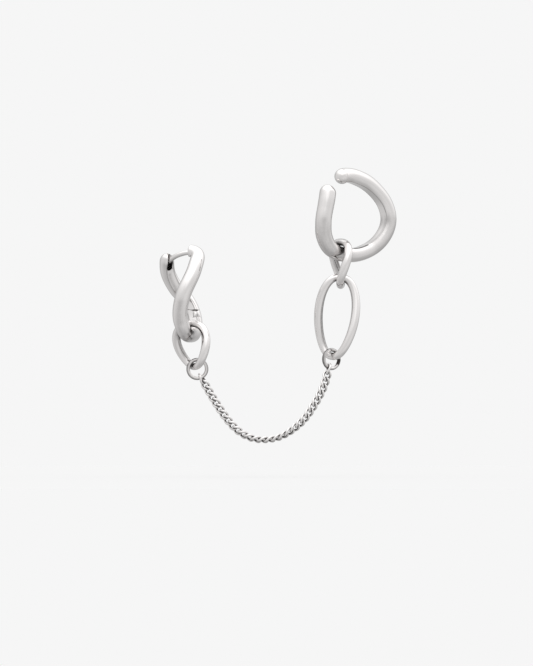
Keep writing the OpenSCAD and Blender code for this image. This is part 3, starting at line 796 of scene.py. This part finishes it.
t, share = run(cuff_line, BALL_AT, TIP_AT, 0, CUFF_WIRE / 2, 260)
cuff_bar = closed_skin(
    "cuff_bar", rings_along(cuff_line, cuff_face, t, cuff_radius(t) * share, d_profile(cuff_flat_at)), False,
    tips=cuff_line(np.array([BALL_AT, TIP_AT])))
up_down = np.radians(np.linspace(3, 177, 48))
ball_rings = cuff_line(BALL_AT) + CUFF_BALL / 2 * np.stack([
    np.sin(up_down)[:, None] * np.cos(q), np.sin(up_down)[:, None] * np.sin(q),
    np.repeat(np.cos(up_down)[:, None], len(q), 1)], -1)
ball_tips = cuff_line(BALL_AT) + np.array([[0, 0, CUFF_BALL / 2], [0, 0, -CUFF_BALL / 2]])
ball = closed_skin("ball", ball_rings, False, tips=ball_tips)
carve(cuff_bar, [ball], "UNION")
# Painted shade on the cuff: dark lines along its creases, heavy near its foot, a wide shade over the lower half of
# its right side where a highlight is taken back, and shaded bands on its lower left.
cuff_shade_at = np.linspace(98, 150, 60)
darken(cuff_bar, [
    (cuff_edges(even(cuff_line, BALL_AT + 6, TIP_AT - 6, 900)), 0, 0.12, 0.45),
    (cuff_edges(np.linspace(163, 186, 100)), 0, 0.2, 1.3),
    (cuff_edges(cuff_shade_at), 0, 0.8, 0.4),
    (cuff_line(np.linspace(208, 238, 60)), CUFF_WIRE / 2, 1.3, 0.25),
    (on_cuff(np.linspace(236, 260, 60), -57), 0, 0.6, 0.26),
    (on_cuff(cuff_shade_at, -75), 0, 0.9, 0.2),
])
seat(cuff_bar, cast_silver, "earring", "silver", "ear_cuff")


# ---------------------------------------------------------------- Cuff link
# The same soldered link as at the lobe, hung over the cuff's foot and twisted so that it is seen nearly edge on.

CUFF_LINK_AT, CUFF_LINK_TURNS, CORNER_RISE = 201.0, (48.0, 97.0), 0.12
cuff_seat_way = way_along(cuff_line, CUFF_LINK_AT)
cuff_seat = cuff_radius(CUFF_LINK_AT) * cuff_flat_at + PLAY + SMALL_END / 2
cuff_link_top = cuff_line(CUFF_LINK_AT) + [0, 0, cuff_seat / math.sqrt(1 - cuff_seat_way[2] ** 2) + CORNER_RISE]
cuff_link_foot = cuff_link_top - [0, 0, SMALL_LONG]
# the cuff link gets painted shade on its inner side and on the outside of its top
cuff_twist, cuff_link_wire = link_skin(
    "cuff_twist_link", SMALL_LONG, SMALL_WIDE, SMALL_SIDE, SMALL_END, CUFF_LINK_TURNS,
    (cuff_link_top + cuff_link_foot) / 2, np.array([0.0, 0, 1]), 150, 44, crown_shade=0.9)
# Painted shade where the cuff link and the cuff touch, on both.
darken(cuff_twist, [(cuff_line(np.linspace(180, 225, 240)), CUFF_WIRE / 2 - 0.2, 0.6, 1.35)])
darken(cuff_bar, [(cuff_link_wire, SMALL_END / 2, 0.7, 1.35)])
seat(cuff_twist, drawn_silver, "earring", "silver", "cuff_link")


# ---------------------------------------------------------------- Oval link
# A long twisted link of the same round wire, soldered shut, that hangs in the cuff link and carries the chain's end.

OVAL_LONG, OVAL_WIDE, OVAL_SIDE, OVAL_END = 13.2, 6.4, 1.45, 1.25
OVAL_TURNS, OVAL_LEAN = (-8.0, 44.0), unit([-0.102, 0, -1])
oval_top = cuff_link_foot + [0, 0, SMALL_END / 2 + PLAY + OVAL_END / 2]
oval_foot = oval_top + OVAL_LONG * OVAL_LEAN
oval_twist, oval_wire = link_skin(
    "oval_twist_link", OVAL_LONG, OVAL_WIDE, OVAL_SIDE, OVAL_END, OVAL_TURNS, (oval_top + oval_foot) / 2,
    -OVAL_LEAN, 220, 44)
# Painted shade where the oval link and the cuff link touch, on both.
darken(oval_twist, [(cuff_link_wire, SMALL_END / 2, CONTACT_SHADE, 1.3)])
darken(cuff_twist, [(oval_wire, OVAL_END / 2, CONTACT_SHADE, 1.3)])
seat(oval_twist, drawn_silver, "earring", "silver", "oval_link")


# ---------------------------------------------------------------- Jump rings
# Two rings of 0.6 mm silver wire, bent round and soldered, join the fine chain to the two links. Each hangs
# in its own plane, pulled a little towards the chain.

RING_D, RING_WIRE, RING_ROUND, RING_SIDES = 3.7, 0.6, 96, 24
LEFT_TURN, RIGHT_TURN = 8.0, 36.0
ring_r = (RING_D - RING_WIRE) / 2


def ring_pull(lean, turn):
    """The way a ring hangs in its own plane, pulled sideways by a share of its weight."""
    return unit([lean * math.cos(math.radians(turn)), lean * math.sin(math.radians(turn)), -1])


def ring_skin(name, middle, turn):
    """Ring: a round section carried round a circle in an upright plane that is turned about Z. Painted shade grows
    towards its inside, over a faint painted shade all round. The middle line is handed back too."""
    along_x = np.array([math.cos(math.radians(turn)), math.sin(math.radians(turn)), 0])
    facing = np.array([-along_x[1], along_x[0], 0])
    profile = round_profile(RING_SIDES)

    def line(t):
        w = np.radians(t)
        return middle + ring_r * (np.cos(w)[:, None] * along_x + np.sin(w)[:, None] * np.array([0, 0, 1.0]))

    t = np.linspace(0, 360, RING_ROUND, endpoint=False)
    radius = np.full(RING_ROUND, RING_WIRE / 2)
    grid = rings_along(line, lambda t: np.broadcast_to(facing, (len(t), 3)), t, radius, profile)
    return closed_skin(name, grid, True, painted_shade=0.12 + 0.85 * np.clip(-profile[:, 0], 0, 1)[None]), line(t)


left_pull = ring_pull(0.8, LEFT_TURN)
left_top = lobe_foot - (SMALL_END / 2 + PLAY + RING_WIRE / 2) * left_pull
left_low = left_top + ring_r * (left_pull + ring_pull(0.45, LEFT_TURN))  # where the chain hangs on the ring
right_pull = ring_pull(-0.55, RIGHT_TURN)
right_top = oval_foot - (OVAL_END / 2 + PLAY + RING_WIRE / 2) * right_pull
right_low = right_top + ring_r * (right_pull + ring_pull(-0.4, RIGHT_TURN))
left_ring, left_wire = ring_skin("left_ring", left_top + ring_r * left_pull, LEFT_TURN)
right_ring, right_wire = ring_skin("right_ring", right_top + ring_r * right_pull, RIGHT_TURN)
# Painted shade where each ring and the link that carries it touch, on both, and a little more on one spot of the
# right ring.
for ring, ring_line, hanger, hanger_line, hanger_wire in [
        (left_ring, left_wire, lobe_twist, lobe_wire, SMALL_END),
        (right_ring, right_wire, oval_twist, oval_wire, OVAL_END)]:
    darken(ring, [(hanger_line, hanger_wire / 2, 0.3, 1.2)])
    darken(hanger, [(ring_line, RING_WIRE / 2, 0.35, 1.3)])
darken(right_ring, [(right_wire[89:94], RING_WIRE / 2, 0.2, 1.3)])
seat(left_ring, drawn_silver, "earring", "silver", "jump_ring_left")
seat(right_ring, drawn_silver, "earring", "silver", "jump_ring_right")


# ---------------------------------------------------------------- Chain
# A fine curb chain of soldered links of 0.4 mm wire. Each link is twisted by a third of a turn from end to end, so
# that the chain lies flat, and it hangs in a deep curve between the two jump rings.

CHAIN_LINKS, CHAIN_DROP, CHAIN_WIDE, CHAIN_END_WIDE, CHAIN_WIRE, CHAIN_PLAY = 29, 17.4, 1.5, 0.24, 0.4, 0.14
CHAIN_HALF_TURN = 62.0
ROLL_LEFT, ROLL_LOW, ROLL_RIGHT, ROLL_REACH = 20.0, 68.0, 15.0, 0.16  # the chain's roll at its ends and halfway
# the hanging chain's bends: share of the way from hoop to cuff, and share of the drop
CHAIN_ROUTE = np.array([
    [0.144, 0.617],
    [0.228, 0.813],
    [0.317, 0.945],
    [0.425, 1.000],
    [0.553, 0.968],
    [0.677, 0.825],
    [0.759, 0.642],
    [0.813, 0.471],
])
fine_silver = metal("polished chain silver", SILVER, PAINTED_SHADE_COLOUR, Wave_height=0.1, Roughest=0.2)
hoop_foot = hoop_line(180.0)
bend_x = hoop_foot[0] + CUFF_AT[0] * CHAIN_ROUTE[:, 0]
bend_y = np.interp(bend_x, [left_low[0], right_low[0]], [left_low[1], right_low[1]])
bends = np.stack([bend_x, bend_y, hoop_foot[2] - CHAIN_DROP * CHAIN_ROUTE[:, 1]], -1)
hold = (RING_WIRE + PLAY) / 2
knots = np.vstack([
    left_low - hold * unit(bends[0] - left_low), bends, right_low - hold * unit(bends[-1] - right_low)])
knot_table = np.column_stack([np.arange(len(knots)), knots])
at = np.minimum(np.arange(8 * (len(knots) - 1) + 1) / 8, len(knots) - 1.0001)
walk = np.stack([through(knot_table, at, c) for c in (1, 2, 3)], -1)
walked = np.concatenate([[0], np.cumsum(np.linalg.norm(np.diff(walk, axis=0), axis=1))])
held_at = np.linspace(0, walked[-1], CHAIN_LINKS + 1)
joints = np.stack([np.interp(held_at, walked, walk[:, c]) for c in range(3)], -1)
links, wires = [left_ring], [left_wire]
for i in range(1, CHAIN_LINKS + 1):
    begin, end = joints[i - 1], joints[i]
    f = (i - 0.5) / CHAIN_LINKS
    straight = ROLL_LEFT + (ROLL_RIGHT - ROLL_LEFT) * f
    roll = straight + (ROLL_LOW - straight) * math.exp(-((f - 0.5) / ROLL_REACH) ** 2)
    first_turn = -90 - LEFT_TURN if i == 1 else roll + CHAIN_HALF_TURN
    last_turn = RIGHT_TURN + 90 if i == CHAIN_LINKS else roll - CHAIN_HALF_TURN
    wide = CHAIN_WIDE + (CHAIN_END_WIDE if i in (1, CHAIN_LINKS) else 0)
    # each chain link gets heavy painted shade over its inner half
    link, wire = link_skin(
        f"curb_link_{i:02d}", np.linalg.norm(end - begin) + CHAIN_WIRE + CHAIN_PLAY, wide - CHAIN_WIRE, CHAIN_WIRE,
        CHAIN_WIRE, (first_turn, last_turn), (begin + end) / 2, begin - end, 44, 14, inner_shade=1.25, shade_from=-0.1)
    links.append(link)
    wires.append(wire)
links.append(right_ring)
wires.append(right_wire)
# Painted shade where neighbouring links of the chain touch.
for i in range(1, CHAIN_LINKS + 1):
    darken(links[i], [(wires[k], CHAIN_WIRE / 2, 0.17, 1.35) for k in (i - 1, i + 1)])
    seat(links[i], fine_silver, "earring", "silver", f"chain_link_{i:02d}")
